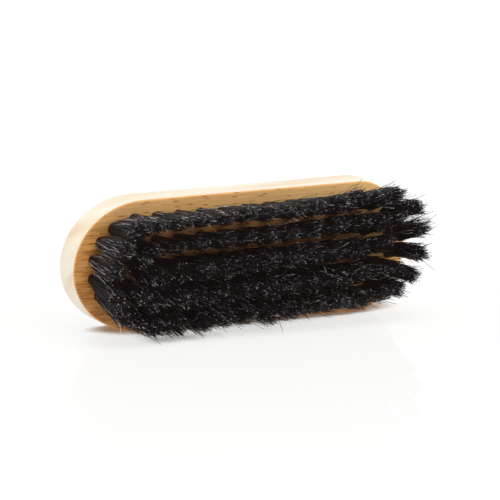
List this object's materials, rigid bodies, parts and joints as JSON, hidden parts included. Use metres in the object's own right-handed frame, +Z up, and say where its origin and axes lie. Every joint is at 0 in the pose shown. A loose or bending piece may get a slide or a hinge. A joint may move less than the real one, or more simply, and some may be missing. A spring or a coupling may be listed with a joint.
{
  "type": "shoe brush",
  "caption": "Shoe brush with a round-ended beech block, drilled on its face and filled with nested rings of black horsehair bunches that fan out.",
  "frame": {"origin": "on the flat long side that the brush lies on, halfway through the block's thickness, under the middle of the rings of bunches", "axes": "+X along the block, +Y out of the block's back, +Z up across the block's width; the bristles point along -Y"},
  "size_m": [0.14, 0.0378, 0.0548],
  "materials": {
    "beech_block": "pale beech, finely sanded, thin clear finish, semi-matt",
    "horsehair": "black horsehair with a soft sheen, bunches fanned by use"
  },
  "bodies": {
    "root": {"wood_block": "beech_block", "inner_end_left": "horsehair", "inner_end_right": "horsehair", "inner_row_bottom_left": "horsehair", "inner_row_bottom_middle": "horsehair", "inner_row_bottom_right": "horsehair", "inner_row_top_left": "horsehair", "inner_row_top_middle": "horsehair", "inner_row_top_right": "horsehair", "middle_row_left": "horsehair", "middle_row_middle": "horsehair", "middle_row_right": "horsehair", "outer_end_left_bottom": "horsehair", "outer_end_left_top": "horsehair", "outer_end_right_bottom": "horsehair", "outer_end_right_top": "horsehair", "outer_row_bottom_left": "horsehair", "outer_row_bottom_middle": "horsehair", "outer_row_bottom_right": "horsehair", "outer_row_top_left": "horsehair", "outer_row_top_middle": "horsehair", "outer_row_top_right": "horsehair"}
  },
  "joints": []
}
